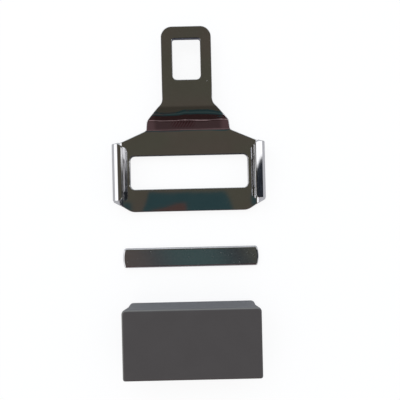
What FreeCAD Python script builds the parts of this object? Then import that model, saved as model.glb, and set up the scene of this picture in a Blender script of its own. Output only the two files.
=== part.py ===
"""Seat belt tongue kit laid out flat: a folded steel tongue plate, a loose slide bar and a plastic cover.

Millimetres. +Y runs from the webbing end towards the blade's tip, +X to the right, +Z up.
The origin is the centre of the webbing slot, on the plane that the kit lies on.
"""
import FreeCAD, Part
import math
import os

V = FreeCAD.Vector
UP = V(0, 0, 1)

# Sheet steel of the tongue plate
SHEET = 2.5
EDGE_ROUND = 0.3
HOLE_CHAMFER = 0.4
SHARP_ANGLE = 25.0
DOWNWARD = -0.5

# Blade that enters the buckle, with its latch window
BLADE_WIDTH = 20.4
BLADE_TIP_Y = 59.0
BLADE_TIP_RADIUS = 4.4
WINDOW_WIDTH = 11.4
WINDOW_LOW_Y = 37.3
WINDOW_HIGH_Y = 54.0
WINDOW_LOW_RADIUS = 1.9
WINDOW_HIGH_RADIUS = 0.9

# Joggle that lifts the blade above the frame
BLADE_RISE = 4.0
RAMP_START_Y = 17.0
RAMP_ANGLE = 34.0
LOW_BEND_MIDDLE = 2.4
HIGH_BEND_MIDDLE = 9.1

# Frame round the webbing slot
FRAME_HALF_WIDTH = 31.0
FRAME_LOW_Y = -16.3
FRAME_LOW_HALF_FLAT = 24.2
FRAME_LOW_RADIUS = 6.0
CORNER_Y = -12.0
SHOULDER_OUTER_Y = 11.5
SHOULDER_INNER_X = 17.4
SHOULDER_INNER_Y = 17.4
SHOULDER_RADIUS = 1.6
FLARE_LOW_X = 16.8
FLARE_LOW_Y = 21.0
FLARE_LOW_RADIUS = 1.6
FLARE_TOP_Y = 28.2
FLARE_TOP_RADIUS = 3.0
SLOT_LENGTH = 49.0
SLOT_HEIGHT = 13.8
SLOT_RADIUS = 1.9

# Channels folded up from both sides of the frame
CHANNEL_LENGTH = 23.0
CHANNEL_CLEAR_HEIGHT = 5.5
LIP_REACH = 4.5
LOW_BEND_INNER = 1.0
LIP_BEND_INNER = 1.5
LIP_CORNER_RADIUS = 1.9
FLANK_UPRIGHT_Z = 6.0
FLANK_LEAN = 3.0
CHANNEL_TOP_Z = SHEET + CHANNEL_CLEAR_HEIGHT + SHEET

# Slide bar
BAR_LENGTH = 56.4
BAR_WIDTH = 8.1
BAR_THICKNESS = 2.3
BAR_END_BULGE = 0.7
BAR_EDGE_ROUND = 0.8
BAR_CENTRE_Y = -35.4

# Cover
COVER_HEAD_WIDTH = 55.0
COVER_SKIRT_WIDTH = 52.5
COVER_LOW_Y = -82.2
COVER_HIGH_Y = -54.2
COVER_DEPTH = 14.0
COVER_WALL = 1.6
COVER_SHOULDER_Z = 6.7
COVER_RIM_HEIGHT = 1.3
COVER_TOP_CORNER = 1.8
COVER_LOW_CORNER = 1.0
COVER_FACE_ROUND = 0.9
NOTCH_LOW_Y = -74.1
NOTCH_HIGH_Y = -64.7
NOTCH_HEIGHT = 1.8
RIM_RELIEF_START_Y = -65.0
RIM_RELIEF_HEIGHT = 1.0
FOOT_REACH = 1.15
FOOT_HEIGHT = 1.4
FOOT_LENGTH = 4.6
FOOT_CENTRES_Y = (-61.6, -77.0)
RIB_THICKNESS = 1.2
RIB_POSITIONS_X = (-17.0, -8.5, 0.0, 8.5, 17.0)
RIB_LOW_Z = 8.6
RIB_END_GAP = 1.0

OVERSIZE = 5.0


def rounded_wire(corners, z=0.0):
    """Closed wire through (x, y, radius) corners, each rounded by a tangent arc."""
    edges = []
    count = len(corners)
    ends = []
    for i in range(count):
        x, y, radius = corners[i]
        here = V(x, y, z)
        back = V(corners[i - 1][0], corners[i - 1][1], z) - here
        ahead = V(corners[(i + 1) % count][0], corners[(i + 1) % count][1], z) - here
        back.normalize()
        ahead.normalize()
        if radius <= 0:
            ends.append((here, None, here))
            continue
        half = back.getAngle(ahead) / 2
        reach = radius / math.tan(half)
        middle_direction = (back + ahead).normalize()
        middle = here + middle_direction * (radius / math.sin(half) - radius)
        ends.append((here + back * reach, middle, here + ahead * reach))
    for i in range(count):
        start, middle, stop = ends[i]
        if middle is not None:
            edges.append(Part.Arc(start, middle, stop).toShape())
        following = ends[(i + 1) % count][0]
        if (following - stop).Length > 1e-6:
            edges.append(Part.LineSegment(stop, following).toShape())
    return Part.Wire(edges)


def prism(corners, low_z, high_z):
    """Upright solid over a rounded outline."""
    face = Part.Face(rounded_wire(corners, low_z))
    return face.extrude(UP * (high_z - low_z))


def mirrored_outline(right_side):
    """Full outline from its right half, listed from the bottom to the top."""
    left_side = [(-x, y, radius) for x, y, radius in reversed(right_side)]
    return right_side + left_side


def box_between(low, high):
    """Solid box from its lowest to its highest corner."""
    size = V(*high) - V(*low)
    return Part.makeBox(size.x, size.y, size.z, V(*low))


def joggle_stations():
    """Points (y, z, slope angle) of the sheet's middle line where its bends start and end."""
    angle = math.radians(RAMP_ANGLE)
    low_rise = LOW_BEND_MIDDLE * (1 - math.cos(angle))
    high_rise = HIGH_BEND_MIDDLE * (1 - math.cos(angle))
    ramp = (BLADE_RISE - low_rise - high_rise) / math.sin(angle)
    y = RAMP_START_Y
    z = SHEET / 2
    stations = [(y, z, 0.0)]
    y += LOW_BEND_MIDDLE * math.sin(angle)
    z += low_rise
    stations.append((y, z, angle))
    y += ramp * math.cos(angle)
    z += ramp * math.sin(angle)
    stations.append((y, z, angle))
    y += HIGH_BEND_MIDDLE * math.sin(angle)
    stations.append((y, SHEET / 2 + BLADE_RISE, 0.0))
    return stations


def sheet_side(offset):
    """Points of one face of the sheet in side view, with the middle of each bend."""
    half_angle = math.radians(RAMP_ANGLE) / 2
    low_start, low_stop, high_start, high_stop = joggle_stations()

    def shifted(station):
        y, z, angle = station
        return V(0, y - offset * math.sin(angle), z + offset * math.cos(angle))

    low_centre = V(0, low_start[0], low_start[1] + LOW_BEND_MIDDLE)
    high_centre = V(0, high_stop[0], high_stop[1] - HIGH_BEND_MIDDLE)
    across = V(0, math.sin(half_angle), -math.cos(half_angle))
    low_middle = low_centre + across * (LOW_BEND_MIDDLE - offset)
    high_middle = high_centre - across * (HIGH_BEND_MIDDLE + offset)
    return (
        shifted(low_start),
        low_middle,
        shifted(low_stop),
        shifted(high_start),
        high_middle,
        shifted(high_stop),
    )


def joggled_sheet(half_width):
    """Sheet of constant thickness in side view, drawn across the whole width."""
    low_y = FRAME_LOW_Y - OVERSIZE
    high_y = BLADE_TIP_Y + OVERSIZE
    under = sheet_side(-SHEET / 2)
    over = sheet_side(SHEET / 2)
    start = V(0, low_y, 0)
    tip_under = V(0, high_y, BLADE_RISE)
    tip_over = V(0, high_y, BLADE_RISE + SHEET)
    back = V(0, low_y, SHEET)
    edges = [
        Part.LineSegment(start, under[0]).toShape(),
        Part.Arc(under[0], under[1], under[2]).toShape(),
        Part.LineSegment(under[2], under[3]).toShape(),
        Part.Arc(under[3], under[4], under[5]).toShape(),
        Part.LineSegment(under[5], tip_under).toShape(),
        Part.LineSegment(tip_under, tip_over).toShape(),
        Part.LineSegment(tip_over, over[5]).toShape(),
        Part.Arc(over[5], over[4], over[3]).toShape(),
        Part.LineSegment(over[3], over[2]).toShape(),
        Part.Arc(over[2], over[1], over[0]).toShape(),
        Part.LineSegment(over[0], back).toShape(),
        Part.LineSegment(back, start).toShape(),
    ]
    face = Part.Face(Part.Wire(edges))
    face.translate(V(-half_width, 0, 0))
    return face.extrude(V(2 * half_width, 0, 0))


def plate_outline(half_width):
    """Plan of the tongue plate, cut off at a given half width."""
    blade_half = BLADE_WIDTH / 2
    slope = (CORNER_Y - FRAME_LOW_Y) / (FRAME_HALF_WIDTH - FRAME_LOW_HALF_FLAT)
    corner_y = FRAME_LOW_Y + slope * (half_width - FRAME_LOW_HALF_FLAT)
    shoulder_slope = (SHOULDER_INNER_Y - SHOULDER_OUTER_Y) / (FRAME_HALF_WIDTH - SHOULDER_INNER_X)
    shoulder_y = SHOULDER_INNER_Y - shoulder_slope * (half_width - SHOULDER_INNER_X)
    right = [
        (FRAME_LOW_HALF_FLAT, FRAME_LOW_Y, FRAME_LOW_RADIUS),
        (half_width, corner_y, 0.0),
        (half_width, shoulder_y, 0.0),
        (SHOULDER_INNER_X, SHOULDER_INNER_Y, SHOULDER_RADIUS),
        (FLARE_LOW_X, FLARE_LOW_Y, FLARE_LOW_RADIUS),
        (blade_half, FLARE_TOP_Y, FLARE_TOP_RADIUS),
        (blade_half, BLADE_TIP_Y, BLADE_TIP_RADIUS),
    ]
    return mirrored_outline(right)


def window_outline():
    """Plan of the latch window in the blade."""
    half = WINDOW_WIDTH / 2
    right = [
        (half, WINDOW_LOW_Y, WINDOW_LOW_RADIUS),
        (half, WINDOW_HIGH_Y, WINDOW_HIGH_RADIUS),
    ]
    return mirrored_outline(right)


def slot_outline():
    """Plan of the webbing slot."""
    half = SLOT_LENGTH / 2
    right = [
        (half, -SLOT_HEIGHT / 2, SLOT_RADIUS),
        (half, SLOT_HEIGHT / 2, SLOT_RADIUS),
    ]
    return mirrored_outline(right)


def flat_and_blade():
    """Flat frame, ramp and blade as one sheet, with the window and the slot."""
    half_width = FRAME_HALF_WIDTH - SHEET - LOW_BEND_INNER
    top = BLADE_RISE + SHEET + OVERSIZE
    sheet = joggled_sheet(FRAME_HALF_WIDTH)
    sheet = sheet.common(prism(plate_outline(half_width), -OVERSIZE, top))
    sheet = sheet.cut(prism(window_outline(), -OVERSIZE, top))
    return sheet.cut(prism(slot_outline(), -OVERSIZE, top))


def channel_section():
    """Section of the right channel across the frame: bend, wall, bend and lip."""
    outer_x = FRAME_HALF_WIDTH
    inner_x = outer_x - SHEET
    low_outer = LOW_BEND_INNER + SHEET
    lip_outer = LIP_BEND_INNER + SHEET
    lip_under_z = SHEET + CHANNEL_CLEAR_HEIGHT
    lip_top_z = lip_under_z + SHEET
    start_x = outer_x - low_outer
    lip_x = outer_x - LIP_REACH
    diagonal = math.sqrt(0.5)
    low_centre = V(start_x, 0, low_outer)
    lip_centre = V(outer_x - lip_outer, 0, lip_top_z - lip_outer)
    low_way = V(diagonal, 0, -diagonal)
    lip_way = V(diagonal, 0, diagonal)
    a = V(start_x, 0, 0)
    b = V(outer_x, 0, low_outer)
    c = V(outer_x, 0, lip_centre.z)
    d = V(lip_centre.x, 0, lip_top_z)
    e = V(lip_x, 0, lip_top_z)
    f = V(lip_x, 0, lip_under_z)
    g = V(lip_centre.x, 0, lip_under_z)
    h = V(inner_x, 0, lip_centre.z)
    i = V(inner_x, 0, low_outer)
    j = V(start_x, 0, SHEET)
    edges = [
        Part.Arc(a, low_centre + low_way * low_outer, b).toShape(),
        Part.LineSegment(b, c).toShape(),
        Part.Arc(c, lip_centre + lip_way * lip_outer, d).toShape(),
        Part.LineSegment(d, e).toShape(),
        Part.LineSegment(e, f).toShape(),
        Part.LineSegment(f, g).toShape(),
        Part.Arc(g, lip_centre + lip_way * LIP_BEND_INNER, h).toShape(),
        Part.LineSegment(h, i).toShape(),
        Part.Arc(i, low_centre + low_way * LOW_BEND_INNER, j).toShape(),
        Part.LineSegment(j, a).toShape(),
    ]
    return Part.Face(Part.Wire(edges))


def channel_flank():
    """Side view of a channel, drawn across both: ends that lean in from the plate, then stand upright."""
    half = CHANNEL_LENGTH / 2
    top_z = CHANNEL_TOP_Z + OVERSIZE
    corners = [
        V(0, half + FLANK_LEAN, -OVERSIZE),
        V(0, half + FLANK_LEAN, SHEET),
        V(0, half, FLANK_UPRIGHT_Z),
        V(0, half, top_z),
        V(0, -half, top_z),
        V(0, -half, FLANK_UPRIGHT_Z),
        V(0, -half - FLANK_LEAN, SHEET),
        V(0, -half - FLANK_LEAN, -OVERSIZE),
    ]
    outline = Part.makePolygon(corners + corners[:1])
    return Part.Face(outline).extrude(V(FRAME_HALF_WIDTH + OVERSIZE, 0, 0))


def channel():
    """Right channel, its ends cut to the plate's plan and to the flank, and rounded at the lip."""
    half = CHANNEL_LENGTH / 2
    reach = half + OVERSIZE
    top_z = CHANNEL_TOP_Z + OVERSIZE
    section = channel_section()
    section.translate(V(0, -reach, 0))
    run = section.extrude(V(0, 2 * reach, 0))
    run = run.common(prism(plate_outline(FRAME_HALF_WIDTH), -OVERSIZE, top_z))
    run = run.common(channel_flank())
    lip_x = FRAME_HALF_WIDTH - LIP_REACH
    lip_plan = [
        (FRAME_HALF_WIDTH + OVERSIZE, -half, 0.0),
        (FRAME_HALF_WIDTH + OVERSIZE, half, 0.0),
        (lip_x, half, LIP_CORNER_RADIUS),
        (lip_x, -half, LIP_CORNER_RADIUS),
    ]
    below_lip = box_between((0, -reach, -OVERSIZE), (FRAME_HALF_WIDTH + OVERSIZE, reach, FLANK_UPRIGHT_Z))
    lip = prism(lip_plan, FLANK_UPRIGHT_Z, top_z)
    return run.common(below_lip.fuse(lip))


def outward(face, point):
    """Direction in which a face looks at a point on it."""
    u, v = face.Surface.parameter(point)
    return face.normalAt(u, v)


def lies_within(edge, half_width, low_y, high_y):
    """Whether an edge stays inside a stretch of the plan."""
    box = edge.BoundBox
    return box.XMin > -half_width and box.XMax < half_width and box.YMin > low_y and box.YMax < high_y


def in_a_hole(edge):
    """Whether an edge belongs to the slot or to the window."""
    slot_reach = SLOT_HEIGHT / 2 + EDGE_ROUND
    in_slot = lies_within(edge, SLOT_LENGTH / 2 + EDGE_ROUND, -slot_reach, slot_reach)
    in_window = lies_within(edge, WINDOW_WIDTH / 2 + EDGE_ROUND, FLARE_TOP_Y, WINDOW_HIGH_Y + EDGE_ROUND)
    return in_slot or in_window


def sharp_edges(plate, on_lower_side):
    """Sharp edges on one side of the sheet, without those that stand upright."""
    chosen = []
    for edge in plate.Edges:
        middle = edge.valueAt((edge.FirstParameter + edge.LastParameter) / 2)
        looks = [outward(face, middle) for face in plate.ancestorsOfType(edge, Part.Face)]
        stands_upright = edge.BoundBox.XLength < EDGE_ROUND and edge.BoundBox.YLength < EDGE_ROUND
        if stands_upright or len(looks) != 2:
            continue
        if math.degrees(looks[0].getAngle(looks[1])) < SHARP_ANGLE:
            continue
        if (min(look.z for look in looks) < DOWNWARD) == on_lower_side:
            chosen.append(edge)
    return chosen


def tongue_plate():
    """The whole stamped and folded plate: edges rounded above, holes chamfered below, outline as punched below."""
    plate = flat_and_blade()
    right = channel()
    left = right.mirror(V(0, 0, 0), V(1, 0, 0))
    plate = plate.fuse([right, left]).removeSplitter().Solids[0]
    hole_edges = [edge for edge in sharp_edges(plate, True) if in_a_hole(edge)]
    plate = plate.makeChamfer(HOLE_CHAMFER, hole_edges).Solids[0]
    return plate.makeFillet(EDGE_ROUND, sharp_edges(plate, False))


def slide_bar():
    """Flat bar with bowed ends and rounded edges."""
    half_length = BAR_LENGTH / 2
    straight = half_length - BAR_END_BULGE
    low_y = BAR_CENTRE_Y - BAR_WIDTH / 2
    high_y = BAR_CENTRE_Y + BAR_WIDTH / 2
    edges = [
        Part.LineSegment(V(-straight, low_y, 0), V(straight, low_y, 0)).toShape(),
        Part.Arc(V(straight, low_y, 0), V(half_length, BAR_CENTRE_Y, 0), V(straight, high_y, 0)).toShape(),
        Part.LineSegment(V(straight, high_y, 0), V(-straight, high_y, 0)).toShape(),
        Part.Arc(V(-straight, high_y, 0), V(-half_length, BAR_CENTRE_Y, 0), V(-straight, low_y, 0)).toShape(),
    ]
    blank = Part.Face(Part.Wire(edges)).extrude(UP * BAR_THICKNESS)
    return blank.makeFillet(BAR_EDGE_ROUND, blank.Edges)


def cover_outline(half_width, low_y, high_y, top_corner, low_corner):
    """Plan of the cover at one level."""
    right = [
        (half_width, low_y, low_corner),
        (half_width, high_y, top_corner),
    ]
    return mirrored_outline(right)


def cover_body(inset, floor_z):
    """Skirt, shoulder and head of the cover, shrunk by a wall's thickness for the hollow."""
    skirt = COVER_SKIRT_WIDTH / 2 - inset
    head = COVER_HEAD_WIDTH / 2 - inset
    high_y = COVER_HIGH_Y - inset
    low_y = COVER_LOW_Y if inset == 0 else COVER_LOW_Y - OVERSIZE
    top_corner = COVER_TOP_CORNER - inset
    low_corner = COVER_LOW_CORNER if inset == 0 else 0.0
    top_z = COVER_DEPTH - inset
    head_z = top_z - COVER_RIM_HEIGHT
    levels = (
        (skirt, floor_z, COVER_SHOULDER_Z),
        (head, head_z, top_z),
    )
    solids = []
    for half_width, low_z, high_z in levels:
        outline = cover_outline(half_width, low_y, high_y, top_corner, low_corner)
        solids.append(prism(outline, low_z, high_z))
    narrow = rounded_wire(cover_outline(skirt, low_y, high_y, top_corner, low_corner), COVER_SHOULDER_Z)
    wide = rounded_wire(cover_outline(head, low_y, high_y, top_corner, low_corner), head_z)
    transition = Part.makeLoft([narrow, wide], True, True)
    return transition.fuse(solids).removeSplitter()


def cover_foot(side, centre_y):
    """Clip foot that stands out from the skirt and runs under a lip."""
    inner = COVER_SKIRT_WIDTH / 2 - COVER_WALL
    outer = COVER_SKIRT_WIDTH / 2 + FOOT_REACH
    low_x = inner if side > 0 else -outer
    high_x = outer if side > 0 else -inner
    half = FOOT_LENGTH / 2
    return box_between((low_x, centre_y - half, 0), (high_x, centre_y + half, FOOT_HEIGHT))


def rim_relief():
    """Wedge that lifts the rim off the table towards the closed wall, where the webbing passes."""
    reach = COVER_HEAD_WIDTH
    corners = [
        V(-reach, RIM_RELIEF_START_Y, 0),
        V(-reach, COVER_HIGH_Y, RIM_RELIEF_HEIGHT),
        V(-reach, COVER_HIGH_Y, -OVERSIZE),
        V(-reach, RIM_RELIEF_START_Y, -OVERSIZE),
    ]
    outline = Part.makePolygon(corners + corners[:1])
    return Part.Face(outline).extrude(V(2 * reach, 0, 0))


def cover():
    """Moulded cover: shell open towards the plate and the webbing, with notches, feet and ribs."""
    outside = cover_body(0.0, 0.0)
    face_edges = [edge for edge in outside.Edges if edge.BoundBox.ZMin > COVER_DEPTH - 1e-3]
    outside = outside.makeFillet(COVER_FACE_ROUND, face_edges)
    shell = outside.cut(cover_body(COVER_WALL, -OVERSIZE))
    for x in RIB_POSITIONS_X:
        low = (x - RIB_THICKNESS / 2, COVER_LOW_Y + RIB_END_GAP, RIB_LOW_Z)
        high = (x + RIB_THICKNESS / 2, COVER_HIGH_Y - COVER_WALL / 2, COVER_DEPTH - COVER_WALL / 2)
        shell = shell.fuse(box_between(low, high))
    reach = COVER_HEAD_WIDTH
    shell = shell.cut(box_between((-reach, NOTCH_LOW_Y, -OVERSIZE), (reach, NOTCH_HIGH_Y, NOTCH_HEIGHT)))
    for side in (-1, 1):
        for centre_y in FOOT_CENTRES_Y:
            shell = shell.fuse(cover_foot(side, centre_y))
    return shell.cut(rim_relief()).removeSplitter()


def main():
    os.makedirs("parts", exist_ok=True)
    nodes = {
        "tongue_plate": tongue_plate,
        "slide_bar": slide_bar,
        "cover": cover,
    }
    for name, build in nodes.items():
        shape = build()
        solid = shape.Solids[0]
        box = solid.BoundBox
        size = [round(length, 2) for length in (box.XLength, box.YLength, box.ZLength)]
        print(name, "valid", solid.isValid(), "volume", round(solid.Volume, 1), "size", size)
        solid.exportStep("parts/" + name + ".step")


main()
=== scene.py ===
"""Looks of the seat belt tongue kit: chromed tongue plate, plated slide bar and moulded plastic cover."""

import math

import bpy
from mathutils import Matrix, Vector

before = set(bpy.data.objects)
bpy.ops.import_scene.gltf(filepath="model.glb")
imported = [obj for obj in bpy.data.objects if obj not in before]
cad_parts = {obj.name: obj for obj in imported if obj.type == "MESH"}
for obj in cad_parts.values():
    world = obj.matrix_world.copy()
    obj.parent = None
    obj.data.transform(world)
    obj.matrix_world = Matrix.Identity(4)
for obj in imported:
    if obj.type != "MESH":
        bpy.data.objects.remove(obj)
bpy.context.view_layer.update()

# Photograph: pixels of the 400 x 400 frame, and metres for each pixel on the table
PHOTO_SIZE = 400
METRES_PER_PIXEL = 0.00042
PHOTO_CENTRE = (0.0043, -0.0118)
CAMERA_HEIGHT = 0.195
CAMERA_TURN = math.radians(1.3)
SENSOR = 36.0

# Light that reaches matt surfaces
FILL_LEVEL = 0.9
LIGHT_FROM_BEHIND = (1.02, 1.20, 1.46)
LIGHT_FROM_FRONT = (0.86, 0.84, 0.82)
LAMP_SIZE = (0.6, 0.4)
LAMP_POWER = 0.8
LAMP_PLACE = (-0.25, 0.45, 0.60)

FLOOR_HALF = 3.0
FLOOR_DROP = 0.00002
PAPER = (0.97, 0.97, 0.97)
# Paper as mirrors see it: a darker grey, painted shade that stands in for the shade of the pieces on it
PAPER_PAINTED_SHADE_FOR_METAL = (0.58, 0.56, 0.555)
PAPER_WHITE = (1.02, 1.02, 1.02, 1.0)
WHITE_SHARE = 0.85

# What polished metal sees: a dim olive ceiling with darker shapes in it,
# and a room with bright windows round it
WHITE_WINDOW = (1.30, 1.30, 1.32)
BLUE_WINDOW = (0.80, 0.84, 0.89)
FRONT_WINDOW = (0.72, 0.70, 0.68)
HORIZON = (0.60, 0.60, 0.62)
DIM_WALL = (0.11, 0.105, 0.105)
OLIVE = (0.073, 0.069, 0.052)
BROWN = (0.078, 0.066, 0.053)
TEAL = (0.025, 0.053, 0.058)
RED_BROWN = (0.076, 0.045, 0.040)
DARK_RED = (0.042, 0.021, 0.021)
DARK_SHADE = (0.011, 0.012, 0.015)
NIGHT_BLUE = (0.048, 0.058, 0.074)
PINK_GLEAM = (0.41, 0.29, 0.30)
PURPLE_BROWN = (0.088, 0.052, 0.055)

# Directions in the room are given as slopes: x and y over z. Lowest z that a slope is worked out for
LEAST_HEIGHT = 0.05

# Teal shapes of the ceiling: centre and half size in slopes, and the softness of their edges
TEAL_PATCHES = (
    ((0.0, -0.28), (0.22, 0.13), 0.03),
    ((-0.157, -0.014), (0.009, 0.011), 0.003),
    ((0.119, -0.002), (0.006, 0.011), 0.003),
)

# Teal shape with slanting sides: its middle, its half width with the soft edge, how much it widens
# towards the near side, and its reach
FLARED_MIDDLE = -0.0285
FLARED_HALF = (0.092, 0.087)
FLARED_WIDENING = 0.335
FLARED_REACH = (-0.08, 0.018)

# Red shape with a slanting upper side: its span, its lower end, and the slant with its soft edge
RED_SPAN = (-0.110, -0.032)
RED_LOW_END = (-0.05, -0.04)
RED_SLANT = -0.229
RED_HIGH_EDGE = (0.0040, 0.0008)

# Slanting strip of the ceiling that the slide bar shows, from its right end to its left.
# Each shade starts at a slope
STRIP_REACH = (-0.19, -0.075)
STRIP_SLANT = 0.48
STRIP_SHIFT = -0.0586
STRIP_SOFT = 0.012
STRIP_RIGHT = (0.086, 0.086, 0.066)
STRIP_SHADES = (
    (0.106, (0.030, 0.033, 0.041)),
    (0.055, (0.050, 0.086, 0.086)),
    (-0.073, (0.056, 0.057, 0.066)),
    (-0.114, (0.094, 0.076, 0.070)),
)

# Bands towards the near side, in slopes: where red starts, the gleam, where purple starts, a darker ripple
RED_START = (-0.26, -0.33)
GLEAM_BAND = (-1.42, -1.05)
PURPLE_START = (-1.42, -1.54)
RIPPLE_BAND = (-2.05, -1.76)

# Sloping part of the plate, in metres along the plate: where shade is painted on it and where the press
# left it wavy, and how far from the middle line it is bright again and still shaded
RAMP_SHADE_REACH = (0.0177, 0.0264)
WAVY_REACH = (0.0187, 0.0235)
BRIGHT_ENDS = (0.0150, 0.0125)

# Slanted tool marks on the ramp: spacing, lean, and where they lie
RIPPLE_PITCH = 0.0012
RIPPLE_LEAN = 0.8
RIPPLE_ALONG = (0.0184, 0.0208)
RIPPLE_ACROSS = (-0.0065, 0.0025)
UPPER_SIDE = (0.0024, 0.0030)

# Wavy crease across the ramp, where the pressed metal starts to flatten: its mean place, sway, pitch
# and shift, where it has died out, and its drop
CREASE_START = 0.0206
CREASE_SWAY = 0.0006
CREASE_PITCH = 0.0138
CREASE_SHIFT = 0.0009
CREASE_END = 0.0225
CREASE_DROP = 0.00013

# Punched walls that look towards the webbing end, where shade is painted: half width and reach of the
# slot's and of the window's
SLOT_WALL_HALF = 0.0248
SLOT_WALL_REACH = (0.0040, 0.0080)
WINDOW_WALL_HALF = 0.0060
WINDOW_WALL_REACH = (0.0500, 0.0550)
WALL_SOFT = 0.0003

# Metal tints: even plate, painted shade on the ramp, painted dark red reflection in the tool marks, painted
# shade on the punched walls, and the bar's grain
PLATE_TINTS = ((0.76, 0.76, 0.77), (0.84, 0.84, 0.85))
RAMP_PAINTED_SHADE = (0.47, 0.47, 0.47)
RIPPLE_PAINTED_REFLECTION = (0.36, 0.17, 0.19)
PUNCHED_WALL_PAINTED_SHADE = (0.12, 0.13, 0.18)
BAR_TINTS = ((0.66, 0.66, 0.67), (0.88, 0.88, 0.89))

# Plastic: the face's mottle, painted light on the closed wall and a painted highlight along the edges that
# face behind and to the left
FACE_TINTS = ((0.074, 0.066, 0.064), (0.083, 0.075, 0.073))
CLOSED_WALL_PAINTED_LIGHT = (0.128, 0.124, 0.122)
EDGE_PAINTED_HIGHLIGHT = (0.175, 0.168, 0.152)


def material(name):
    """New empty node material, with its tree and its surface output."""
    made = bpy.data.materials.new(name)
    made.use_nodes = True
    tree = made.node_tree
    tree.nodes.clear()
    output = tree.nodes.new("ShaderNodeOutputMaterial")
    return made, tree, output


def math_node(tree, operation, first, second=None, third=None):
    """Math node fed by sockets or plain numbers."""
    node = tree.nodes.new("ShaderNodeMath")
    node.operation = operation
    for index, value in enumerate((first, second, third)):
        if value is None:
            continue
        if isinstance(value, (int, float)):
            node.inputs[index].default_value = value
        else:
            tree.links.new(value, node.inputs[index])
    return node.outputs[0]


def both(tree, first, second):
    """Product of two masks."""
    return math_node(tree, "MULTIPLY", first, second)


def smooth_step(tree, value, low, high):
    """0 under low, 1 over high, smooth between them. Low may be the larger one."""
    node = tree.nodes.new("ShaderNodeMapRange")
    node.interpolation_type = "SMOOTHSTEP"
    node.inputs["From Min"].default_value = low
    node.inputs["From Max"].default_value = high
    tree.links.new(value, node.inputs["Value"])
    return node.outputs["Result"]


def span(tree, value, reach, soft):
    """1 between two levels, falling to 0 over a soft border on both sides."""
    low, high = reach
    above = smooth_step(tree, value, low - soft, low + soft)
    below = smooth_step(tree, value, high + soft, high - soft)
    return both(tree, above, below)


def patch(tree, u, v, centre, half, soft):
    """1 inside a rectangle of the overhead plane, falling to 0 over a soft border."""
    across = math_node(tree, "ABSOLUTE", math_node(tree, "SUBTRACT", u, centre[0]))
    along = math_node(tree, "ABSOLUTE", math_node(tree, "SUBTRACT", v, centre[1]))
    inside_u = smooth_step(tree, across, half[0] + soft, half[0] - soft)
    inside_v = smooth_step(tree, along, half[1] + soft, half[1] - soft)
    return both(tree, inside_u, inside_v)


def mix_colour(tree, factor, first, second):
    """Colour mix of sockets or plain colours."""
    node = tree.nodes.new("ShaderNodeMix")
    node.data_type = "RGBA"
    colour_inputs = [socket for socket in node.inputs if socket.type == "RGBA"]
    factor_input = node.inputs["Factor"]
    for socket, value in ((factor_input, factor), (colour_inputs[0], first), (colour_inputs[1], second)):
        if isinstance(value, tuple):
            socket.default_value = (*value, 1.0)
        else:
            tree.links.new(value, socket)
    return [socket for socket in node.outputs if socket.type == "RGBA"][0]


def noise(tree, vector, scale, detail):
    """Noise texture value."""
    node = tree.nodes.new("ShaderNodeTexNoise")
    node.inputs["Scale"].default_value = scale
    node.inputs["Detail"].default_value = detail
    tree.links.new(vector, node.inputs["Vector"])
    return node.outputs["Fac"]


def parts_of(tree, vector):
    """The x, y and z of a vector."""
    split = tree.nodes.new("ShaderNodeSeparateXYZ")
    tree.links.new(vector, split.inputs["Vector"])
    return split.outputs[0], split.outputs[1], split.outputs[2]


def object_coordinates(tree, stretch=(1.0, 1.0, 1.0)):
    """Object coordinates in metres, stretched for grain that runs one way."""
    source = tree.nodes.new("ShaderNodeTexCoord")
    mapping = tree.nodes.new("ShaderNodeMapping")
    mapping.inputs["Scale"].default_value = stretch
    tree.links.new(source.outputs["Object"], mapping.inputs["Vector"])
    return mapping.outputs["Vector"]


def surface_normal(tree):
    """The x, y and z of the direction in which the surface looks."""
    geometry = tree.nodes.new("ShaderNodeNewGeometry")
    return parts_of(tree, geometry.outputs["Normal"])


def bump(tree, height, strength, distance, normal=None):
    """Bump from a height socket."""
    node = tree.nodes.new("ShaderNodeBump")
    node.inputs["Strength"].default_value = strength
    node.inputs["Distance"].default_value = distance
    tree.links.new(height, node.inputs["Height"])
    if normal is not None:
        tree.links.new(normal, node.inputs["Normal"])
    return node.outputs["Normal"]


def ceiling_seen_by_metal(tree, direction, u, v):
    """Dim olive and brown ceiling, with the teal, red and dark shapes that the flat metal shows."""
    mottle = smooth_step(tree, noise(tree, direction, 6.0, 3.0), 0.40, 0.60)
    ceiling = mix_colour(tree, mottle, OLIVE, BROWN)
    aside = math_node(tree, "ABSOLUTE", math_node(tree, "ADD", u, -FLARED_MIDDLE))
    flared = math_node(tree, "MULTIPLY_ADD", v, FLARED_WIDENING, aside)
    between_sides = smooth_step(tree, flared, *FLARED_HALF)
    shapes = [both(tree, between_sides, span(tree, v, FLARED_REACH, 0.002))]
    shapes += [patch(tree, u, v, centre, half, soft) for centre, half, soft in TEAL_PATCHES]
    for shape in shapes:
        ceiling = mix_colour(tree, shape, ceiling, TEAL)
    slanting = math_node(tree, "MULTIPLY_ADD", u, RED_SLANT, v)
    red = both(tree, span(tree, u, RED_SPAN, 0.003), smooth_step(tree, slanting, *RED_HIGH_EDGE))
    red = both(tree, red, smooth_step(tree, v, *RED_LOW_END))
    ceiling = mix_colour(tree, red, ceiling, RED_BROWN)
    strip = STRIP_RIGHT
    blotch = math_node(tree, "SUBTRACT", noise(tree, direction, 45.0, 3.0), 0.45)
    slanted = math_node(tree, "MULTIPLY_ADD", v, STRIP_SLANT, u)
    slanted = math_node(tree, "MULTIPLY_ADD", blotch, 0.05, slanted)
    for start, shade in STRIP_SHADES:
        edge = start + STRIP_SHIFT
        past_edge = smooth_step(tree, slanted, edge + STRIP_SOFT, edge - STRIP_SOFT)
        strip = mix_colour(tree, past_edge, strip, shade)
    return mix_colour(tree, span(tree, v, STRIP_REACH, 0.008), ceiling, strip)


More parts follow.
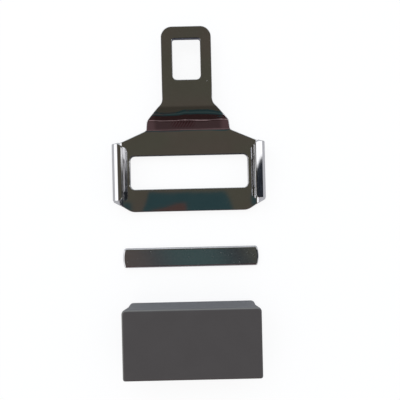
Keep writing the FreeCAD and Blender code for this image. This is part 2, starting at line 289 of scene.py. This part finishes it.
def near_wall_seen_by_metal(tree, direction, x, v, room):
    """Bands towards the near side, which the offset bend of the plate shows: red, a pink gleam, purple."""
    sway = math_node(tree, "SUBTRACT", noise(tree, direction, 13.0, 1.0), 0.5)
    swaying = math_node(tree, "MULTIPLY_ADD", sway, 0.7, v)
    swaying_little = math_node(tree, "MULTIPLY_ADD", sway, 0.12, v)
    ahead = smooth_step(tree, math_node(tree, "ABSOLUTE", x), 0.55, 0.35)
    bands = (
        (smooth_step(tree, swaying_little, *RED_START), DARK_RED),
        (span(tree, swaying, GLEAM_BAND, 0.16), PINK_GLEAM),
        (smooth_step(tree, swaying, *PURPLE_START), PURPLE_BROWN),
        (span(tree, v, RIPPLE_BAND, 0.06), DARK_RED),
    )
    for band, shade in bands:
        room = mix_colour(tree, both(tree, ahead, band), room, shade)
    return room


def side_walls_seen_by_metal(tree, direction, x, y, room):
    """White windows to the left and the right, and the dark shape beside the right one."""
    leftward = math_node(tree, "MULTIPLY", x, -1.0)
    left = both(tree, smooth_step(tree, leftward, 0.68, 0.78), span(tree, y, (-0.46, 0.205), 0.035))
    room = mix_colour(tree, left, room, WHITE_WINDOW)
    beside = smooth_step(tree, math_node(tree, "ABSOLUTE", y), 0.24, 0.17)
    right = both(tree, beside, smooth_step(tree, x, 0.14, 0.20))
    speckle = math_node(tree, "SUBTRACT", noise(tree, direction, 60.0, 3.0), 0.5)
    level = math_node(tree, "MULTIPLY_ADD", x, -0.030, y)
    level = math_node(tree, "MULTIPLY_ADD", speckle, 0.02, level)
    shade = mix_colour(tree, smooth_step(tree, speckle, -0.05, 0.15), DARK_SHADE, NIGHT_BLUE)
    beyond = mix_colour(tree, smooth_step(tree, level, 0.052, 0.066), shade, WHITE_WINDOW)
    return mix_colour(tree, right, room, beyond)


def room_seen_by_metal(tree):
    """Colour that a mirror sees in each direction: the ceiling overhead, and the room round it."""
    source = tree.nodes.new("ShaderNodeTexCoord")
    direction = source.outputs["Generated"]
    x, y, z = parts_of(tree, direction)
    height = math_node(tree, "MAXIMUM", z, LEAST_HEIGHT)
    wobble = math_node(tree, "SUBTRACT", noise(tree, direction, 14.0, 3.0), 0.5)
    shift = math_node(tree, "MULTIPLY", wobble, 0.012)
    u = math_node(tree, "ADD", math_node(tree, "DIVIDE", x, height), shift)
    v = math_node(tree, "ADD", math_node(tree, "DIVIDE", y, height), shift)
    room = mix_colour(tree, smooth_step(tree, z, 0.36, 0.04), DIM_WALL, HORIZON)
    low = smooth_step(tree, z, 0.70, 0.58)
    behind = both(tree, smooth_step(tree, y, 0.50, 0.66), low)
    room = mix_colour(tree, behind, room, BLUE_WINDOW)
    towards_the_side = smooth_step(tree, math_node(tree, "ABSOLUTE", x), 0.35, 0.50)
    corner = both(tree, smooth_step(tree, y, -0.30, -0.45), towards_the_side)
    room = mix_colour(tree, both(tree, corner, low), room, FRONT_WINDOW)
    ceiling = ceiling_seen_by_metal(tree, direction, u, v)
    room = mix_colour(tree, smooth_step(tree, z, 0.62, 0.80), room, ceiling)
    room = near_wall_seen_by_metal(tree, direction, x, v, room)
    return side_walls_seen_by_metal(tree, direction, x, y, room)


def light_on_matt(tree):
    """Light on matt surfaces: bright and bluish from behind, weaker and warmer from the front."""
    source = tree.nodes.new("ShaderNodeTexCoord")
    backwards = parts_of(tree, source.outputs["Generated"])[1]
    return mix_colour(tree, smooth_step(tree, backwards, -0.2, 0.9), LIGHT_FROM_FRONT, LIGHT_FROM_BEHIND)


def build_world():
    """White for the camera, the room for mirrors, and an even light for everything else."""
    world = bpy.data.worlds.new("studio")
    world.use_nodes = True
    bpy.context.scene.world = world
    tree = world.node_tree
    tree.nodes.clear()
    output = tree.nodes.new("ShaderNodeOutputWorld")
    path = tree.nodes.new("ShaderNodeLightPath")
    lit = tree.nodes.new("ShaderNodeBackground")
    lit.inputs["Strength"].default_value = FILL_LEVEL
    tree.links.new(light_on_matt(tree), lit.inputs["Color"])
    mirrored = tree.nodes.new("ShaderNodeBackground")
    tree.links.new(room_seen_by_metal(tree), mirrored.inputs["Color"])
    seen = tree.nodes.new("ShaderNodeBackground")
    seen.inputs["Color"].default_value = (1.0, 1.0, 1.0, 1.0)
    by_metal = tree.nodes.new("ShaderNodeMixShader")
    tree.links.new(path.outputs["Is Glossy Ray"], by_metal.inputs[0])
    tree.links.new(lit.outputs[0], by_metal.inputs[1])
    tree.links.new(mirrored.outputs[0], by_metal.inputs[2])
    by_camera = tree.nodes.new("ShaderNodeMixShader")
    tree.links.new(path.outputs["Is Camera Ray"], by_camera.inputs[0])
    tree.links.new(by_metal.outputs[0], by_camera.inputs[1])
    tree.links.new(seen.outputs[0], by_camera.inputs[2])
    tree.links.new(by_camera.outputs[0], output.inputs["Surface"])


def build_floor():
    half = FLOOR_HALF
    mesh = bpy.data.meshes.new("floor")
    corners = [(-half, -half, 0), (half, -half, 0), (half, half, 0), (-half, half, 0)]
    mesh.from_pydata(corners, [], [(0, 1, 2, 3)])
    floor = bpy.data.objects.new("floor", mesh)
    bpy.context.scene.collection.objects.link(floor)
    paper, tree, output = material("paper")
    path = tree.nodes.new("ShaderNodeLightPath")
    shaded = tree.nodes.new("ShaderNodeBsdfDiffuse")
    # Painted shade: mirrors see the paper darker, as if it lay in the shade of the pieces
    tint = mix_colour(tree, path.outputs["Is Glossy Ray"], PAPER, PAPER_PAINTED_SHADE_FOR_METAL)
    tree.links.new(tint, shaded.inputs["Color"])
    white = tree.nodes.new("ShaderNodeEmission")
    white.inputs["Color"].default_value = PAPER_WHITE
    seen = tree.nodes.new("ShaderNodeMixShader")
    through = math_node(tree, "MAXIMUM", path.outputs["Is Camera Ray"], path.outputs["Is Transmission Ray"])
    tree.links.new(math_node(tree, "MULTIPLY", through, WHITE_SHARE), seen.inputs[0])
    tree.links.new(shaded.outputs[0], seen.inputs[1])
    tree.links.new(white.outputs[0], seen.inputs[2])
    tree.links.new(seen.outputs[0], output.inputs["Surface"])
    mesh.materials.append(paper)
    floor.location.z = -FLOOR_DROP


def build_lamp():
    """One large soft lamp, for a gentle shade on matt surfaces."""
    data = bpy.data.lights.new("softbox", "AREA")
    data.shape = "RECTANGLE"
    data.size, data.size_y = LAMP_SIZE
    data.energy = LAMP_POWER
    lamp = bpy.data.objects.new("softbox", data)
    lamp.location = LAMP_PLACE
    aim = Vector((0.0, 0.0, 0.0)) - lamp.location
    lamp.rotation_euler = aim.to_track_quat("-Z", "Y").to_euler()
    lamp.visible_glossy = False
    bpy.context.scene.collection.objects.link(lamp)


def build_camera():
    """Camera straight above the middle of the photograph."""
    data = bpy.data.cameras.new("camera")
    half_width = PHOTO_SIZE / 2 * METRES_PER_PIXEL
    data.sensor_width = SENSOR
    data.lens = SENSOR / 2 * CAMERA_HEIGHT / half_width
    data.clip_start = 0.001
    data.clip_end = 20.0
    camera = bpy.data.objects.new("camera", data)
    camera.location = (*PHOTO_CENTRE, CAMERA_HEIGHT)
    camera.rotation_euler.z = -CAMERA_TURN
    bpy.context.scene.collection.objects.link(camera)
    bpy.context.scene.camera = camera


def specks(tree, place, scale, size, share):
    """Sparse dots: a share of the cells of a grid of random points, each with one dot."""
    cells = tree.nodes.new("ShaderNodeTexVoronoi")
    cells.inputs["Scale"].default_value = scale
    tree.links.new(place, cells.inputs["Vector"])
    lot = tree.nodes.new("ShaderNodeSeparateColor")
    tree.links.new(cells.outputs["Color"], lot.inputs["Color"])
    chosen = math_node(tree, "LESS_THAN", lot.outputs[0], share)
    return both(tree, chosen, smooth_step(tree, cells.outputs["Distance"], size, size / 2))


def ramp_ripples(tree, x, y, z):
    """Fine slanted tool marks in the middle of the plate's sloping part, and nothing elsewhere."""
    on_ramp = both(tree, span(tree, y, RIPPLE_ALONG, 0.0005), smooth_step(tree, z, *UPPER_SIDE))
    middle = span(tree, x, RIPPLE_ACROSS, 0.0025)
    along = math_node(tree, "SUBTRACT", x, math_node(tree, "MULTIPLY", y, RIPPLE_LEAN))
    wave = math_node(tree, "SINE", math_node(tree, "MULTIPLY", along, math.tau / RIPPLE_PITCH))
    return math_node(tree, "MULTIPLY", wave, both(tree, on_ramp, middle))


def ramp_waves(tree, y):
    """Gentle unevenness that the pressing leaves across the plate's sloping part."""
    uneven = noise(tree, object_coordinates(tree, (1.0, 0.1, 0.1)), 110.0, 1.0)
    return math_node(tree, "MULTIPLY", uneven, span(tree, y, WAVY_REACH, 0.0025))


def pressed_crease(tree, x, y):
    """Height that falls from a wavy line across the plate's sloping part to the end of the crease."""
    turns = math.tau / CREASE_PITCH
    phase = math_node(tree, "MULTIPLY_ADD", x, turns, turns * CREASE_SHIFT)
    start = math_node(tree, "MULTIPLY_ADD", math_node(tree, "COSINE", phase), CREASE_SWAY, CREASE_START)
    width = math_node(tree, "SUBTRACT", CREASE_END, start)
    way = math_node(tree, "DIVIDE", math_node(tree, "SUBTRACT", y, start), width)
    return smooth_step(tree, way, 1.0, 0.0)


def painted_shade_on_punched_walls(tree, x, y):
    """1 on the walls and edges of the slot and the window that look towards the webbing end, where shade is
    painted on them.
    """
    facing = smooth_step(tree, surface_normal(tree)[1], -0.15, -0.50)
    holes = []
    for half, reach in ((SLOT_WALL_HALF, SLOT_WALL_REACH), (WINDOW_WALL_HALF, WINDOW_WALL_REACH)):
        holes.append(both(tree, span(tree, x, (-half, half), WALL_SOFT), span(tree, y, reach, WALL_SOFT)))
    return both(tree, facing, math_node(tree, "MAXIMUM", *holes))


def metal(name):
    """Material with a metallic shader, and that shader."""
    made, tree, output = material(name)
    shader = tree.nodes.new("ShaderNodeBsdfPrincipled")
    shader.inputs["Metallic"].default_value = 1.0
    tree.links.new(shader.outputs[0], output.inputs["Surface"])
    return made, tree, shader


def chrome():
    """Bright plate on polished sheet: haze, pits, hairline scratches, painted shade on the ramp, painted
    dark red reflection in its tool marks, and painted shade on the punched walls.
    """
    made, tree, shader = metal("chrome_plate")
    place = object_coordinates(tree)
    x, y, z = parts_of(tree, place)
    haze = noise(tree, place, 160.0, 4.0)
    ripples = ramp_ripples(tree, x, y, z)
    off_the_ends = smooth_step(tree, math_node(tree, "ABSOLUTE", x), *BRIGHT_ENDS)
    # Painted shade: the middle of the ramp is darkened to stand in for the darker things it reflects
    ramp = both(tree, span(tree, y, RAMP_SHADE_REACH, 0.0006), off_the_ends)
    tint = mix_colour(tree, haze, *PLATE_TINTS)
    tint = mix_colour(tree, ramp, tint, RAMP_PAINTED_SHADE)
    # Painted reflection: the tool marks, real bumps, are also tinted dark red as the colour they reflect
    tint = mix_colour(tree, smooth_step(tree, ripples, 0.0, 0.8), tint, RIPPLE_PAINTED_REFLECTION)
    # Painted shade on the punched walls that face the webbing end
    tint = mix_colour(tree, painted_shade_on_punched_walls(tree, x, y), tint, PUNCHED_WALL_PAINTED_SHADE)
    tree.links.new(tint, shader.inputs["Base Color"])
    roughness = math_node(tree, "MULTIPLY_ADD", haze, 0.04, 0.02)
    pits = specks(tree, place, 260.0, 0.07, 0.12)
    tree.links.new(math_node(tree, "MULTIPLY_ADD", pits, 0.30, roughness), shader.inputs["Roughness"])
    waves = noise(tree, place, 60.0, 1.0)
    scratches = noise(tree, object_coordinates(tree, (4.0, 90.0, 4.0)), 90.0, 2.0)
    normal = bump(tree, waves, 0.05, 0.0005)
    normal = bump(tree, scratches, 0.03, 0.00002, normal)
    normal = bump(tree, ramp_waves(tree, y), 1.0, 0.0010, normal)
    normal = bump(tree, pressed_crease(tree, x, y), 1.0, CREASE_DROP, normal)
    normal = bump(tree, ripples, 0.8, 0.000012, normal)
    tree.links.new(normal, shader.inputs["Normal"])
    return made


def plated_bar():
    """Plated bar: the same metal with a fine speckled grain."""
    made, tree, shader = metal("bar_plate")
    place = object_coordinates(tree)
    speckle = noise(tree, place, 1400.0, 3.0)
    tree.links.new(mix_colour(tree, speckle, *BAR_TINTS), shader.inputs["Base Color"])
    roughness = math_node(tree, "MULTIPLY_ADD", speckle, 0.12, 0.06)
    pits = specks(tree, place, 900.0, 0.20, 0.30)
    tree.links.new(math_node(tree, "MULTIPLY_ADD", pits, 0.22, roughness), shader.inputs["Roughness"])
    tree.links.new(bump(tree, speckle, 0.10, 0.00003), shader.inputs["Normal"])
    return made


def grey_plastic():
    """Dark grey moulded plastic with a fine grain, with painted light on the closed wall and a painted
    highlight along the edges that face behind and to the left.
    """
    made, tree, output = material("moulded_plastic")
    shader = tree.nodes.new("ShaderNodeBsdfPrincipled")
    shader.inputs["Specular IOR Level"].default_value = 0.4
    place = object_coordinates(tree)
    mottle = noise(tree, place, 120.0, 3.0)
    grain = noise(tree, place, 2600.0, 2.0)
    sideways, backwards, upwards = surface_normal(tree)
    # Painted light: the closed wall, which faces behind, is painted paler as if more light fell on it from
    # behind
    painted_light_on_closed_wall = smooth_step(tree, backwards, 0.30, 0.80)
    to_the_left_behind = smooth_step(tree, math_node(tree, "SUBTRACT", backwards, sideways), 0.15, 0.45)
    # Painted highlight: the rounded edges that face behind and to the left are painted paler
    painted_edge_highlight = both(tree, span(tree, upwards, (0.45, 0.90), 0.12), to_the_left_behind)
    tint = mix_colour(tree, mottle, *FACE_TINTS)
    tint = mix_colour(tree, painted_light_on_closed_wall, tint, CLOSED_WALL_PAINTED_LIGHT)
    tint = mix_colour(tree, painted_edge_highlight, tint, EDGE_PAINTED_HIGHLIGHT)
    tree.links.new(tint, shader.inputs["Base Color"])
    tree.links.new(math_node(tree, "MULTIPLY_ADD", grain, 0.12, 0.36), shader.inputs["Roughness"])
    tree.links.new(bump(tree, grain, 0.25, 0.00004), shader.inputs["Normal"])
    tree.links.new(shader.outputs[0], output.inputs["Surface"])
    return made


def dress(node, finish):
    """Gives a CAD node its material."""
    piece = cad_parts[node]
    piece.data.materials.clear()
    piece.data.materials.append(finish)


build_world()
build_floor()
build_lamp()
build_camera()
dress("tongue_plate", chrome())
dress("slide_bar", plated_bar())
dress("cover", grey_plastic())

bpy.context.scene.view_settings.view_transform = "Standard"
